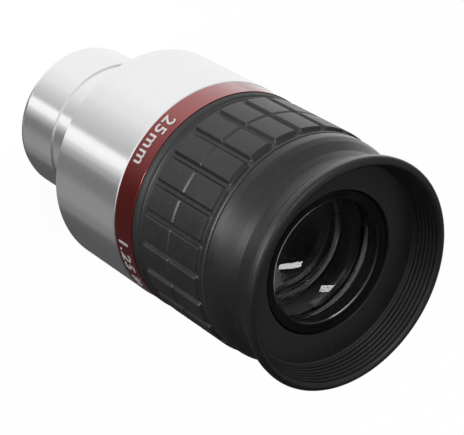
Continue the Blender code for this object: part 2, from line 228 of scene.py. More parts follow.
def swept(name, points, turns, shape=None):
    """The mesh of a closed outline swept around Z. shape(radius, z, turn) may change a radius."""
    bm = bmesh.new()
    rows = []
    for radius, z in points:
        if radius < ON_AXIS:
            rows.append([bm.verts.new((0.0, 0.0, z * MM))])
            continue
        row = []
        for turn in turns:
            r = shape(radius, z, turn) if shape else radius
            row.append(bm.verts.new((r * math.sin(turn) * MM, -r * math.cos(turn) * MM, z * MM)))
        rows.append(row)
    for low, high in zip(rows, rows[1:] + rows[:1]):
        if len(low) == 1 and len(high) == 1:
            continue
        for i in range(len(turns)):
            j = (i + 1) % len(turns)
            ring = (low[i % len(low)], low[j % len(low)], high[j % len(high)], high[i % len(high)])
            bm.faces.new(dict.fromkeys(ring))
    bmesh.ops.recalc_face_normals(bm, faces=bm.faces)
    mesh = bpy.data.meshes.new(name)
    bm.to_mesh(mesh)
    bm.free()
    return mesh


def smooth(mesh):
    mesh.shade_smooth()
    mesh.set_sharp_from_angle(angle=math.radians(SHARP_ANGLE))


def place(name, mesh, material, body, slot, nodes):
    """Puts a mesh in the scene as a piece that rides on a body and stands for CAD nodes."""
    obj = bpy.data.objects.new(name, mesh)
    bpy.context.scene.collection.objects.link(obj)
    obj.data.materials.append(material)
    smooth(obj.data)
    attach(obj, body)
    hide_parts(*nodes)
    return obj


def weigh_normals(obj):
    weighted = obj.modifiers.new("weighted_normals", "WEIGHTED_NORMAL")
    weighted.keep_sharp = True
    weighted.weight = 80
    return obj


def turned(name, corners, material, body, slot, nodes, steps=FINE_STEPS, shape=None):
    mesh = swept(name, outline(corners), even_turns(steps), shape)
    return weigh_normals(place(name, mesh, material, body, slot, nodes))


def cut(obj, bm):
    """Cuts the closed shapes in bm out of a piece and drops them."""
    bmesh.ops.recalc_face_normals(bm, faces=bm.faces)
    mesh = bpy.data.meshes.new("cutter")
    bm.to_mesh(mesh)
    bm.free()
    cutter = bpy.data.objects.new("cutter", mesh)
    bpy.context.scene.collection.objects.link(cutter)
    obj.modifiers.clear()
    boolean = obj.modifiers.new("cut", "BOOLEAN")
    boolean.object = cutter
    bpy.context.view_layer.update()
    graph = bpy.context.evaluated_depsgraph_get()
    result = bpy.data.meshes.new_from_object(obj.evaluated_get(graph))
    obj.modifiers.clear()
    obj.data = result
    bpy.data.objects.remove(cutter, do_unlink=True)
    smooth(obj.data)
    weigh_normals(obj)


def around_axis(degrees, radius, z):
    """Placement at this angle from the front, with local X pointing outwards."""
    turn = Matrix.Rotation(math.radians(degrees - 90.0), 4, "Z")
    return turn @ Matrix.Translation(Vector((radius, 0.0, z)) * MM)


# ------------------------------------------------------------------ materials
class Look:
    """A Principled material under construction, with short calls for its nodes."""

    def __init__(self, name, **values):
        self.material = bpy.data.materials.new(name)
        self.material.use_nodes = True
        self.tree = self.material.node_tree
        self.shader = self.tree.nodes["Principled BSDF"]
        for socket, value in values.items():
            self.shader.inputs[socket.replace("_", " ")].default_value = value

    def node(self, kind, inputs=(), **settings):
        made = self.tree.nodes.new(kind)
        for key, value in settings.items():
            setattr(made, key, value)
        for socket, value in dict(inputs).items():
            if isinstance(value, bpy.types.NodeSocket):
                self.tree.links.new(value, made.inputs[socket])
            else:
                made.inputs[socket].default_value = value
        return made

    def feed(self, socket, output):
        self.tree.links.new(output, self.shader.inputs[socket])

    def math(self, operation, *values):
        return self.node("ShaderNodeMath", enumerate(values), operation=operation).outputs[0]

    def vector(self, operation, output, inputs):
        made = self.node("ShaderNodeVectorMath", inputs, operation=operation)
        return made.outputs[output]

    def place(self):
        """The point in the row frame, in metres."""
        return self.node("ShaderNodeTexCoord").outputs["Object"]

    def height(self):
        return self.node("ShaderNodeSeparateXYZ", {0: self.place()}).outputs[2]

    def lathe_place(self, lines_per_mm, around):
        """Coordinates that change fast along a turned profile and slowly around it."""
        flat = self.vector("MULTIPLY", 0, {0: self.place(), 1: (1.0, 1.0, 0.0)})
        heading = self.vector("NORMALIZE", 0, {0: flat})
        slow = self.vector("SCALE", 0, {0: heading, 3: around})
        length = self.vector("LENGTH", 1, {0: flat})
        along = self.math("MULTIPLY", self.math("ADD", self.height(), length), lines_per_mm / MM)
        fast = self.node("ShaderNodeCombineXYZ", {2: along}).outputs[0]
        return self.vector("ADD", 0, {0: slow, 1: fast})

    def noise(self, where, scale=1.0, detail=2.0, roughness=0.5):
        values = {"Vector": where, "Scale": scale, "Detail": detail, "Roughness": roughness}
        return self.node("ShaderNodeTexNoise", values).outputs["Fac"]

    def span(self, value, low, high, source=(0.0, 1.0), smooth_step=False):
        """value, from the source range, mapped to low..high."""
        kind = "SMOOTHSTEP" if smooth_step else "LINEAR"
        values = {0: value, 1: source[0], 2: source[1], 3: low, 4: high}
        return self.node("ShaderNodeMapRange", values, interpolation_type=kind).outputs[0]

    def colours(self, value, dark, light):
        ramp = self.node("ShaderNodeValToRGB", {0: value})
        ramp.color_ramp.elements[0].color = (*dark, 1.0)
        ramp.color_ramp.elements[1].color = (*light, 1.0)
        return ramp.outputs[0]

    def mix(self, factor, first, second):
        mixer = self.node("ShaderNodeMix", data_type="RGBA")
        for socket, value in ((0, factor), (6, first), (7, second)):
            if isinstance(value, bpy.types.NodeSocket):
                self.tree.links.new(value, mixer.inputs[socket])
            else:
                mixer.inputs[socket].default_value = value if socket == 0 else (*value, 1.0)
        return mixer.outputs[2]

    def bump(self, height, strength, distance_mm):
        values = {"Height": height, "Strength": strength, "Distance": distance_mm * MM}
        return self.node("ShaderNodeBump", values).outputs[0]


def turned_metal(name, dark, light, low_rough, high_rough, streak):
    """Metal with the fine rings of a lathe, and lobes stretched across them."""
    look = Look(name, Metallic=1.0, Anisotropic=0.55, Anisotropic_Rotation=0.25)
    rings = look.noise(look.lathe_place(11.0, 1.1), detail=3.0, roughness=0.65)
    bands = look.noise(look.lathe_place(2.1, 0.8), detail=2.0)
    cloud = look.noise(look.place(), scale=90.0, detail=3.0)
    tone = look.math("ADD", look.math("MULTIPLY", rings, 0.6), look.math("MULTIPLY", bands, 0.4))
    look.feed("Base Color", look.colours(look.span(tone, 0.0, 1.0, (0.3, 0.7)), dark, light))
    rough = look.span(look.math("ADD", tone, cloud), low_rough, high_rough, (0.7, 1.3))
    look.feed("Roughness", rough)
    around = look.node("ShaderNodeTangent", direction_type="RADIAL", axis="Z")
    look.feed("Tangent", around.outputs[0])
    look.feed("Normal", look.bump(rings, streak, 0.012))
    return look.material


def anodised_red(name):
    look = Look(name, Metallic=0.75, Coat_Weight=1.0, Coat_IOR=1.45, Coat_Roughness=0.1)
    rings = look.noise(look.lathe_place(7.0, 5.0), detail=2.0)
    cloud = look.noise(look.place(), scale=160.0, detail=3.0)
    tone = look.span(look.math("ADD", rings, cloud), 0.0, 1.0, (0.7, 1.3))
    look.feed("Base Color", look.colours(tone, (0.190, 0.011, 0.011), (0.220, 0.016, 0.015)))
    look.feed("Roughness", look.span(tone, 0.26, 0.34))
    look.feed("Normal", look.bump(rings, 0.12, 0.01))
    return look.material


def satin_black(name, dark, light, low_rough, high_rough, specular=0.5):
    """Black anodised aluminium: a fine turned grain under a dull dye."""
    look = Look(name, Specular_IOR_Level=specular)
    rings = look.noise(look.lathe_place(6.0, 5.0), detail=2.0)
    grain = look.noise(look.place(), scale=5200.0, detail=2.0)
    cloud = look.noise(look.place(), scale=130.0, detail=3.0)
    tone = look.span(look.math("ADD", rings, cloud), 0.0, 1.0, (0.7, 1.3))
    look.feed("Base Color", look.colours(tone, dark, light))
    rough = look.span(look.math("ADD", grain, cloud), low_rough, high_rough, (0.7, 1.3))
    look.feed("Roughness", rough)
    look.feed("Normal", look.bump(look.math("ADD", rings, grain), 0.25, 0.012))
    return look.material


def moulded_rubber(name, dark, light, low_rough, high_rough, specular, grain_mm, grain_depth):
    """Rubber with a fine moulded grain, patchy dullness and slightly paler high spots."""
    look = Look(name, Specular_IOR_Level=specular)
    grain = look.noise(look.place(), scale=1.0 / (grain_mm * MM), detail=3.0, roughness=0.6)
    patch = look.noise(look.place(), scale=110.0, detail=4.0, roughness=0.6)
    speck = look.noise(look.place(), scale=1500.0, detail=2.0)
    mottle = look.math("ADD", patch, look.math("MULTIPLY", grain, 0.5))
    tone = look.span(mottle, 0.0, 1.0, (0.5, 1.0))
    base = look.colours(tone, dark, light)
    dust = look.span(speck, 0.0, 0.35, (0.60, 0.78))
    look.feed("Base Color", look.mix(dust, base, tuple(3.0 * c for c in light)))
    rough = look.span(look.math("ADD", patch, grain), low_rough, high_rough, (0.7, 1.3))
    look.feed("Roughness", rough)
    look.feed("Normal", look.bump(grain, 0.5, grain_depth))
    return look.material


def white_paint(name):
    look = Look(name, Specular_IOR_Level=0.4)
    cloud = look.noise(look.place(), scale=1800.0, detail=2.0)
    look.feed("Base Color", look.colours(cloud, (0.74, 0.72, 0.70), (0.92, 0.91, 0.90)))
    look.feed("Roughness", look.span(cloud, 0.45, 0.6))
    look.feed("Normal", look.bump(cloud, 0.2, 0.01))
    return look.material


def nylon_look(name):
    look = Look(name, Subsurface_Weight=0.15, Subsurface_Scale=0.001)
    cloud = look.noise(look.place(), scale=240.0, detail=3.0)
    fine = look.noise(look.place(), scale=4000.0)
    look.feed("Base Color", look.colours(cloud, (0.60, 0.58, 0.52), (0.70, 0.69, 0.64)))
    look.feed("Roughness", look.span(fine, 0.42, 0.55))
    look.feed("Normal", look.bump(fine, 0.2, 0.01))
    return look.material


def coated_glass(name):
    """Optical glass with the faintest smear of dust."""
    look = Look(name, Transmission_Weight=1.0, IOR=1.52)
    cloud = look.noise(look.place(), scale=260.0, detail=4.0)
    look.feed("Base Color", look.colours(cloud, (0.93, 0.96, 0.95), (0.97, 0.99, 0.98)))
    look.feed("Roughness", look.span(cloud, 0.0, 0.004, (0.7, 0.9)))
    return look.material


ALUMINIUM = turned_metal(
    "turned_aluminium", (0.84, 0.84, 0.85), (0.90, 0.90, 0.91), 0.16, 0.22, 0.06
)
STEEL = turned_metal("screw_steel", (0.42, 0.42, 0.43), (0.55, 0.55, 0.56), 0.28, 0.4, 0.2)
RED = anodised_red("anodised_red")
BLACK = satin_black("black_anodised", (0.016, 0.018, 0.018), (0.026, 0.029, 0.028), 0.36, 0.46)
FLAT_BLACK = satin_black(
    "blackened_inside", (0.004, 0.004, 0.004), (0.008, 0.008, 0.008), 0.42, 0.6, 0.35
)
RING_BLACK = satin_black(
    "retainer_black", (0.0015, 0.0015, 0.0015), (0.003, 0.003, 0.003), 0.15, 0.21
)
GRIP_RUBBER = moulded_rubber(
    "grip_rubber", (0.010, 0.010, 0.011), (0.017, 0.017, 0.018), 0.36, 0.46, 0.42, 0.26, 0.07
)
CUP_RUBBER = moulded_rubber(
    "eyecup_rubber", (0.009, 0.009, 0.010), (0.014, 0.014, 0.015), 0.34, 0.42, 0.32, 0.16, 0.015
)
PAINT = white_paint("marking_white")
NYLON = nylon_look("white_nylon")
GLASS = coated_glass("coated_glass")


# ------------------------------------------------------------------ outside pieces
def thread(pitch, depth, bottom, top, wall):
    """A shape that cuts a screw thread into the wall with this radius."""

    def shaped(radius, z, turn):
        if abs(radius - wall) > SAME_RADIUS or not bottom < z < top:
            return radius
        fade = min(1.0, (top - z) / pitch, (z - bottom) / (0.3 * pitch))
        wave = abs(((z / pitch - turn / math.tau) % 1.0) * 2.0 - 1.0)
        return radius + depth * wave * fade

    return shaped


def thread_rows(radius, bottom, top, pitch):
    """Corners up a threaded wall."""
    count = round((top - bottom) / pitch * THREAD_ROWS_PER_TURN)
    return [(radius, bottom + (top - bottom) * i / count) for i in range(count + 1)]


def make_nosepiece():
    bore, radius, bottom, top = extent("nosepiece_barrel")
    neck = radius - NOSE_NECK_STEP
    thread_radius = bore + 0.42
    thread_top = bottom + FILTER_THREAD_LENGTH
    rows = thread_rows(thread_radius, bottom + 0.45, thread_top, FILTER_THREAD_PITCH)
    corners = [
        (neck, top, 0.3),
        (neck, NOSE_BAND_TOP, 0.03),
        (radius, NOSE_BAND_TOP, 0.04),
        (radius, bottom + NOSE_END_TAPER, 0.1),
        (radius - 0.2, bottom + 0.05, 0.06),
        (radius - 0.3, bottom, 0.06),
        (thread_radius + 0.45, bottom, 0.08),
        *rows,
        (bore, thread_top + 0.5, 0.1),
        (bore, top, 0.2),
    ]
    shape = thread(
        FILTER_THREAD_PITCH, FILTER_THREAD_DEPTH, bottom + 0.4, thread_top, thread_radius
    )
    nodes = ["nosepiece_barrel"]
    nosepiece = turned(
        "nosepiece", corners, ALUMINIUM, "housing", "bright_aluminium", nodes, shape=shape
    )
    nosepiece.data.materials.append(FLAT_BLACK)
    inside = (bore + 0.1) * MM
    for face in nosepiece.data.polygons:
        if face.center.xy.length < inside:
            face.material_index = 1
    return nosepiece


def make_body():
    bore, radius, bottom, top = extent("body_shell")
    band_inner, _, band_bottom, _ = extent("colour_band")
    tail_outer = HOUSING_TAIL + FIT_GAP
    tail_bottom = extent("upper_housing")[2]
    body_top = band_bottom - SEAM
    boss_radius = bore + BOSS_WALL
    corners = [
        (band_inner - 0.3, top),
        (band_inner - 0.3, body_top),
        (radius - 0.2, body_top, 0.03),
        (radius, body_top - 0.2, 0.06),
        (radius, bottom + SHOULDER_CHAMFER, 0.06),
        (radius - SHOULDER_CHAMFER, bottom, 0.06),
        (bore - BORE_FILL, bottom, 0.03),
        (bore - BORE_FILL, bottom + 1.0),
        (bore, bottom + 1.0),
        (bore, BOSS_TOP, 0.1),
        (boss_radius, BOSS_TOP, 0.1),
        (boss_radius, bottom + REAR_WALL),
        (radius - SHELL_WALL, bottom + REAR_WALL, 0.4),
        (radius - SHELL_WALL, tail_bottom - 1.0),
        (tail_outer, tail_bottom - 0.6),
        (tail_outer, top),
    ]
    return turned("body", corners, ALUMINIUM, "housing", "bright_aluminium", ["body_shell"])


def make_band():
    inner, radius, bottom, top = extent("colour_band")
    corners = [
        (radius, top + 0.12, 0.05),
        (radius - 0.13, top + BAND_LIP, 0.03),
        (radius, bottom, 0.06),
        (inner, bottom),
        (inner, top + BAND_LIP),
    ]
    return turned("colour_ring", corners, RED, "housing", "red_enamel", ["colour_band"])


def guide_angles():
    return [GUIDE_FIRST_ANGLE + 360.0 * i / GUIDE_COUNT for i in range(GUIDE_COUNT)]


def guide_height():
    low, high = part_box("guide_screw_1")
    return (low.z + high.z) / 2 / MM


def make_upper_housing():
    _, radius, bottom, top = extent("upper_housing")
    flange = extent("colour_band")[3] + FIT_GAP
    corners = [
        (HOUSING_TUBE, top, 0.15),
        (HOUSING_TUBE, flange + 1.5, 0.08),
        (21.95, flange + 1.5, 0.12),
        (22.35, flange + 1.35, 0.1),
        (22.78, flange + 0.88, 0.45),
        (radius - 0.05, flange + 0.2, 0.15),
        (radius, flange, 0.03),
        (HOUSING_TAIL, flange),
        (HOUSING_TAIL, bottom, 0.1),
        (HOUSING_TAIL_BORE, bottom, 0.1),
        (HOUSING_TAIL_BORE, flange + 1.3, 0.1),
        (HOUSING_BORE, flange + 1.3),
        (HOUSING_BORE, top, 0.15),
    ]
    tube_piece = turned(
        "housing_tube", corners, BLACK, "housing", "black_anodised", ["upper_housing"]
    )
    bm = bmesh.new()
    for angle in guide_angles():
        where = around_axis(angle, (HOUSING_TUBE + HOUSING_BORE) / 2, guide_height())
        bmesh.ops.create_cone(
            bm,
            cap_ends=True,
            segments=32,
            radius1=GUIDE_HOLE * MM,
            radius2=GUIDE_HOLE * MM,
            depth=2 * GUIDE_HOLE * MM,
            matrix=where @ Matrix.Rotation(math.radians(90), 4, "Y"),
        )
    cut(tube_piece, bm)
    return tube_piece


def rise(distance, slope):
    """Height, from 0 to 1, of a softly rounded step this far inside a pad's edge."""
    t = min(max(distance / slope, 0.0), 1.0)
    return t * t * (3.0 - 2.0 * t)


def spread(edges, fine, coarse, reach):
    """Sorted positions between the first and last edge, close together near every edge."""
    places = set()
    for first, last in zip(edges, edges[1:]):
        near = min(reach, (last - first) / 2)
        count = max(1, round(near / fine))
        places |= {round(first + near * i / count, 4) for i in range(count + 1)}
        places |= {round(last - near * i / count, 4) for i in range(count + 1)}
        middle = last - first - 2 * near
        count = max(1, round(middle / coarse))
        places |= {round(first + near + middle * i / count, 4) for i in range(count + 1)}
    return sorted(places)


def make_grip():
    bore, pad, bottom, top = extent("rubber_grip")
    base = pad - GRIP_DEPTH
    pad += PAD_CROWN
    pitch = math.tau * pad / GRIP_COLUMNS
    half_groove = GRIP_GROOVE / 2
    half_cross = GRIP_CROSS_GROOVE / 2
    first = math.radians(GRIP_FIRST_GROOVE)
    edges = [0.0, half_groove, pitch - half_groove, pitch]
    columns = spread(edges, PAD_EDGE_MESH, 0.75, GRIP_SLOPE + 0.1)
    turns = [
        first + (column * pitch + x) / pad
        for column in range(GRIP_COLUMNS)
        for x in columns[:-1]
    ]
    cross_low, cross_high = GRIP_CROSS_Z - half_cross, GRIP_CROSS_Z + half_cross

    def shaped(radius, z, turn):
        if radius < base - SAME_RADIUS or not PADS_BOTTOM < z < PADS_TOP:
            return radius
        x = ((turn - first) * pad) % pitch
        across = rise(min(x, pitch - x) - half_groove, GRIP_SLOPE)
        ends = rise(min(z - PADS_BOTTOM, PADS_TOP - z), GRIP_SLOPE)
        cross = rise(max(cross_low - z, z - cross_high), GRIP_SLOPE)
        along = ends * (GRIP_CROSS_LEVEL + (1.0 - GRIP_CROSS_LEVEL) * cross)
        return base + (pad - base) * across * along

    levels = [PADS_BOTTOM, cross_low, cross_high, PADS_TOP]
    heights = spread(levels, PAD_EDGE_MESH, PAD_MIDDLE_MESH, GRIP_SLOPE + 0.1)
    bead = base + GRIP_BEAD
    points = outline([
        (bore, bottom + 0.1),
        (bore, top),
        (base - 0.35, top, 0.1),
        *arc(bead - 0.7, top - 0.38, 0.7, 42.0, -45.0, 9),
        *[(base, z) for z in reversed(heights)],
        *arc(bead - 0.45, bottom + 0.05, 0.45, 52.0, -12.0, 6),
        (base - 0.35, bottom + 0.1, 0.1),
    ])
    mesh = swept("grip", points, turns, shaped)
    return place("grip", mesh, GRIP_RUBBER, "housing", "grip_rubber", ["rubber_grip"])


def make_sleeve():
    bore, radius, bottom, top = extent("eyecup_sleeve")
    flange_radius, wall, tail = 19.7, 19.2, 19.9
    flange_bottom = top - SLEEVE_FLANGE
    groove_top = extent("glide_ring")[3] + FIT_GAP
    corners = [
        (flange_radius, top, 0.1),
        (radius, flange_bottom - 0.4, 0.4),
        (radius, groove_top, 0.05),
        (tail, groove_top),
        (tail, bottom, 0.1),
        (wall, bottom, 0.1),
        (wall, flange_bottom, 0.2),
        (bore, flange_bottom, 0.1),
        (bore, top, 0.1),
    ]
    sleeve = turned("sleeve", corners, BLACK, "eyecup", "black_anodised", ["eyecup_sleeve"])
    lift = next(j for j in frame["joints"] if j["name"] == "eyecup_lift")["range_m"][1] / MM
    pitch = lift / EYECUP_TWIST
    overrun = math.degrees(SLOT_HALF_WIDTH / radius)
    sweep = EYECUP_TWIST + 2 * overrun
    bm = bmesh.new()
    for angle in guide_angles():
        low = guide_height() - lift - pitch * overrun
        start = around_axis(angle - EYECUP_TWIST - overrun, (radius + wall) / 2, low)
        upright = start @ Matrix.Rotation(math.radians(90), 4, "X")
        size = Matrix.Diagonal((2.6 * MM, 2 * SLOT_HALF_WIDTH * MM, 1.0, 1.0))
        made = bmesh.ops.create_grid(
            bm, x_segments=1, y_segments=1, size=0.5, matrix=upright @ size
        )
        faces = list({face for vert in made["verts"] for face in vert.link_faces})
        edges = list({edge for face in faces for edge in face.edges})
        bmesh.ops.spin(
            bm,
            geom=made["verts"] + edges + faces,
            cent=(0.0, 0.0, 0.0),
            axis=(0.0, 0.0, 1.0),
            dvec=(0.0, 0.0, pitch * sweep / SLOT_STEPS * MM),
            angle=math.radians(sweep),
            steps=SLOT_STEPS,
        )
    cut(sleeve, bm)


def make_eyecup():
    hole, lip, bottom, top = extent("rubber_eyecup")
    sleeve = extent("eyecup_sleeve")
    skirt = sleeve[1] + FIT_GAP
    foot = bottom - 0.35
    wall_foot, wall_top = (20.25, CUP_FLOOR + 0.62), (21.1, top - 0.85)
    wall = []
    for rib in range(BOWL_RIBS):
        for step, depth in ((0.0, 0.0), (0.34, 0.0), (0.5, RIB_DEPTH), (0.84, RIB_DEPTH)):
            share = (rib + step) / BOWL_RIBS
            radius = wall_foot[0] + (wall_top[0] - wall_foot[0]) * share
            z = wall_foot[1] + (wall_top[1] - wall_foot[1]) * share
            wall.append((radius + depth, z, 0.07))
    corners = [
        (lip - 1.35, top, 0.75),
        (lip, top - 0.55, 0.95),
        (lip - 0.25, top - 2.3, 1.0),
        (22.2, 86.9, 3.0),
        (21.4, 84.9, 3.0),
        (20.72, 82.9, 0.12),
        (21.15, 81.2, 2.5),
        (22.2, 79.0, 2.5),
        (22.65, 77.6, 2.0),
        (22.65, foot, 0.6),
        (skirt, foot, 0.1),
        (skirt, sleeve[3] - 1.6, 0.3),
        (19.8, CUP_UNDERSIDE, 0.3),
        (hole, CUP_UNDERSIDE, 0.1),
        (hole, CUP_FLOOR, 0.16),
        (wall_foot[0] - 0.35, CUP_FLOOR + 0.4, 0.3),
        *wall,
        (21.2, top - 0.6, 0.3),
    ]
    return turned(
        "eyecup_moulding", corners, CUP_RUBBER, "eyecup", "eyecup_rubber", ["rubber_eyecup"]
    )


# ------------------------------------------------------------------ marking
def make_marking(name, text, middle_angle):
    """Lettering bent onto the colour band, reading left to right with its top towards +Z."""
    radius = extent("colour_band")[1]
    font = bpy.data.curves.new(name, "FONT")
    font.body = text
    font.size = 1.0
    font.align_x = "CENTER"
    font.resolution_u = 6
    font.space_character = 1.12
    font.extrude = 0.5
    font.offset = 0.012
    obj = bpy.data.objects.new(name, font)
    bpy.context.scene.collection.objects.link(obj)
    bpy.context.view_layer.update()
    graph = bpy.context.evaluated_depsgraph_get()
    mesh = bpy.data.meshes.new_from_object(obj.evaluated_get(graph))
    bpy.data.objects.remove(obj, do_unlink=True)
    bm = bmesh.new()
    bm.from_mesh(mesh)
    bmesh.ops.remove_doubles(bm, verts=bm.verts, dist=1e-5)
    tall = max(vert.co.y for vert in bm.verts)
    wide = max(vert.co.x for vert in bm.verts)
    for i in range(1, MARK_CUTS):
        x = -wide + 2 * wide * i / MARK_CUTS
        geometry = bm.verts[:] + bm.edges[:] + bm.faces[:]
        bmesh.ops.bisect_plane(bm, geom=geometry, plane_co=(x, 0, 0), plane_no=(1, 0, 0))
    scale = MARK_HEIGHT / tall
    for vert in bm.verts:
        turn = math.radians(middle_angle) + vert.co.x * scale / radius
        r = radius + (MARK_PROUD if vert.co.z > 0 else -MARK_PROUD)
        z = MARK_BASE_Z + vert.co.y * scale
        vert.co = Vector((r * math.sin(turn), -r * math.cos(turn), z)) * MM
    bmesh.ops.recalc_face_normals(bm, faces=bm.faces)
    bm.to_mesh(mesh)
    bm.free()
    return place(name, mesh, PAINT, "housing", None, [])


# ------------------------------------------------------------------ inside pieces
def make_ring(name, node, material, body, slot):
    """A plain ring with its edges broken."""
    inner, outer, bottom, top = extent(node)
    section = [(outer, top), (outer, bottom), (inner, bottom), (inner, top)]
    corners = [(radius, z, BROKEN_EDGE) for radius, z in section]
    return turned(name, corners, material, body, slot, [node], PLAIN_STEPS)


def make_black_piece(name, corners, material, node, steps=PLAIN_STEPS, shape=None):
    """A blackened turned piece inside the housing."""
    return turned(name, corners, material, "housing", "blackened_inside", [node], steps, shape)


def make_baffled_ring(name, node):
    """A ring whose bore has a glare-stopping thread."""
    inner, outer, bottom, top = extent(node)
    mouth = inner + BROKEN_EDGE
    rows = thread_rows(inner, bottom + 0.1, top - 0.1, INSIDE_THREAD_PITCH)
    corners = [
        (outer, top, BROKEN_EDGE),
        (outer, bottom, BROKEN_EDGE),
        (mouth, bottom),
        *rows,
        (mouth, top),
    ]
    shape = thread(INSIDE_THREAD_PITCH, BAFFLE_THREAD_DEPTH, bottom, top, inner)
    return make_black_piece(name, corners, FLAT_BLACK, node, shape=shape)


def make_lens_barrel():
    bore, radius, bottom, top = extent("lens_barrel")
    boss = extent("body_shell")[0] + BOSS_WALL + FIT_GAP
    thread_wall = RING_BORE - 0.12
    rows = thread_rows(thread_wall, RING_SEAT + 0.2, top - 0.2, INSIDE_THREAD_PITCH)
    corners = [
        (BARREL_FRONT, top, 0.1),
        (BARREL_FRONT, 78.0),
        (radius, 76.0, 0.2),
        (radius, bottom, 0.2),
        (boss, bottom),
        (boss, BOSS_TOP + FIT_GAP),
        (BARREL_BORE, BOSS_TOP + FIT_GAP, 0.1),
        (BARREL_BORE, 66.0),
        (bore, 66.0, 0.1),
        (bore, 68.0, 0.1),
        (LENS_BORE, 68.0),
        (LENS_BORE, RING_SEAT, 0.05),
        (RING_BORE - 0.1, RING_SEAT),
        *rows,
        (RING_BORE + 0.1, top, 0.08),
    ]
    shape = thread(
        INSIDE_THREAD_PITCH, RING_THREAD_DEPTH, RING_SEAT + 0.2, top - 0.1, thread_wall
    )
    return make_black_piece(
        "optics_barrel", corners, FLAT_BLACK, "lens_barrel", FINE_STEPS, shape
    )


def cut_notches(ring, radius, z):
    """Two spanner notches, opposite each other, in a retaining ring's face."""
    bm = bmesh.new()
    size = Matrix.Diagonal(((2 * radius + 2) * MM, NOTCH_WIDTH * MM, NOTCH_WIDTH * MM, 1.0))
    bmesh.ops.create_cube(bm, size=1.0, matrix=Matrix.Translation((0.0, 0.0, z * MM)) @ size)
    cut(ring, bm)


def make_eye_ring():
    inner, outer, bottom, top = extent("eye_retaining_ring")
    top += RING_RISE
    lip, mouth = inner + 1.1, inner + 0.55
    corners = [
        (outer, top, 0.08),
        (outer, bottom, 0.1),
        (lip, bottom, 0.05),
        (lip, bottom + 0.6, 0.03),
        (mouth, bottom + 1.0, 0.03),
        (mouth, top - RING_CHAMFER, 0.03),
        (mouth + RING_CHAMFER, top - RING_BEVEL_DROP, 0.03),
        (mouth + RING_CHAMFER + RING_BEVEL, top),
    ]
    return make_black_piece(
        "eye_lens_retainer", corners, RING_BLACK, "eye_retaining_ring", FINE_STEPS
    )


def make_rear_ring():
    inner, outer, bottom, top = extent("rear_retaining_ring")
    corners = [(outer, top, 0.1), (outer, bottom, 0.15), (inner, bottom, 0.15), (inner, top, 0.1)]
    ring = make_black_piece("rear_group_retainer", corners, FLAT_BLACK, "rear_retaining_ring")
    cut_notches(ring, outer, bottom)


def make_field_stop():
    inner, outer, bottom, top = extent("field_stop_ring")
    corners = [
        (outer, top, 0.1),
        (outer, bottom, 0.1),
        (inner, bottom, 0.03),
        (inner, bottom + 0.3),
        (inner + 0.6, top, 0.05),
    ]
    make_black_piece("field_stop", corners, FLAT_BLACK, "field_stop_ring")


def lens_surface(curve, radius, edge_z):
    """Corners of a lens face from the axis to the edge. A positive curve bulges up, None is flat."""
    if curve is None:
        return [(0.0, edge_z), (radius, edge_z)]
    size = abs(curve)
    drop = math.sqrt(size**2 - radius**2)
    sign = math.copysign(1.0, curve)
    radii = [radius * i / LENS_RINGS for i in range(LENS_RINGS + 1)]
    return [(r, edge_z + sign * (math.sqrt(size**2 - r**2) - drop)) for r in radii]


def sag(curve, radius):
    return 0.0 if curve is None else abs(curve) - math.sqrt(curve**2 - radius**2)


def make_lens(name, nodes, lower, upper):
    """One lens, or a cemented pair, that fills its CAD nodes from the first up to the last.

    lower and upper are the radii of its outer surfaces in millimetres.
    """
    _, radius, bottom, _ = extent(nodes[0])
    top = extent(nodes[-1])[3]
    top_edge = top - sag(upper, radius) if upper and upper > 0 else top
    bottom_edge = bottom + sag(lower, radius) if lower and lower < 0 else bottom
    chamfer = LENS_EDGE_CHAMFER
    corners = lens_surface(upper, radius - chamfer, top_edge)
    corners += [(radius, top_edge - chamfer), (radius, bottom_edge + chamfer)]
    corners += lens_surface(lower, radius - chamfer, bottom_edge)[::-1]
    mesh = swept(name, outline(corners), even_turns(LENS_STEPS))
    return place(name, mesh, GLASS, "housing", "coated_glass", nodes)


# Name, CAD nodes from the rear forwards, and the radii of the rear and front surface
LENSES = [
    ("field_doublet", ["field_lens_flint", "field_lens_crown"], -120.0, 70.0),
    ("middle_doublet", ["middle_lens_crown", "middle_lens_flint"], -80.0, None),
    ("singlet", ["inner_singlet"], None, 52.0),
    ("eye_element", ["eye_lens"], -70.0, 66.0),
]


def make_inside():
    """The pieces inside the housing. Returns the eye ring, the eye lens and the lit bores."""
    barrel = make_lens_barrel()
    eye_ring = make_eye_ring()
    make_rear_ring()
    make_field_stop()
    make_ring("glide_bearing", "glide_ring", NYLON, "glide_ring", "nylon")
    make_ring("stop_ring", "sleeve_stop_ring", BLACK, "eyecup", "black_anodised")
    make_baffled_ring("field_spacing_ring", "field_spacer")
    middle_baffle = make_baffled_ring("middle_spacing_ring", "middle_spacer")
    make_baffled_ring("eye_spacing_ring", "eye_spacer")
    lenses = [make_lens(*lens) for lens in LENSES]
    return eye_ring, lenses[-1], [barrel, middle_baffle]


def paint_cad_nodes():
    """The guide screws stay as CAD made them, in turned steel."""
    for number in range(1, GUIDE_COUNT + 1):
        mesh = frame["nodes"][f"guide_screw_{number}"].data
        mesh.materials.clear()
        mesh.materials.append(STEEL)


# ------------------------------------------------------------------ studio
class Studio:
    """Builds the soft studio light as a function of direction."""

    def __init__(self):
        self.world = bpy.data.worlds.new("studio")
        bpy.context.scene.world = self.world
        self.world.use_nodes = True
        self.tree = self.world.node_tree
        self.tree.nodes.clear()

    node = Look.node
    math = Look.math
    vector = Look.vector
    span = Look.span


